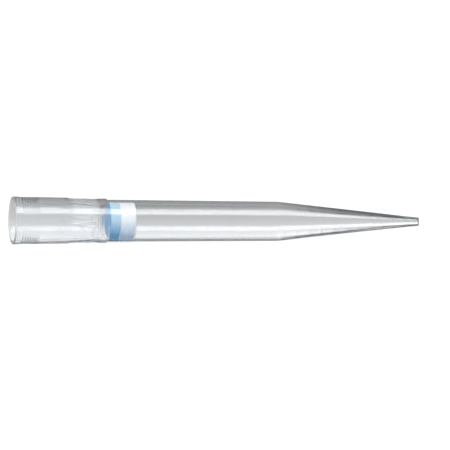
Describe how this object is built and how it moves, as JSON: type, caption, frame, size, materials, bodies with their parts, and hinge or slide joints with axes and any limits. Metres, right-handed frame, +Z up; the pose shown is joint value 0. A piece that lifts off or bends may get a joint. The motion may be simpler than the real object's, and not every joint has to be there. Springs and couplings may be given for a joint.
{
  "type": "filtered pipette tip",
  "caption": "Clear moulded pipette tip with a ringed rim, ribbed collar, long tapered barrel and fine point, holding a blue and white porous filter.",
  "frame": {"origin": "on the resting surface, under the middle of the tip as it lies on its side", "axes": "+X towards the point, within about a degree of the tip's axis; +Y sideways; +Z up"},
  "size_m": [0.076, 0.0088, 0.0088],
  "materials": {
    "clear_plastic": "clear moulded polypropylene, polished",
    "blue_filter": "blue sintered porous polyethylene",
    "white_filter": "white sintered porous polyethylene"
  },
  "bodies": {
    "root": {"tip_body": "clear_plastic", "filter_blue": "blue_filter", "filter_white": "white_filter"}
  },
  "joints": []
}
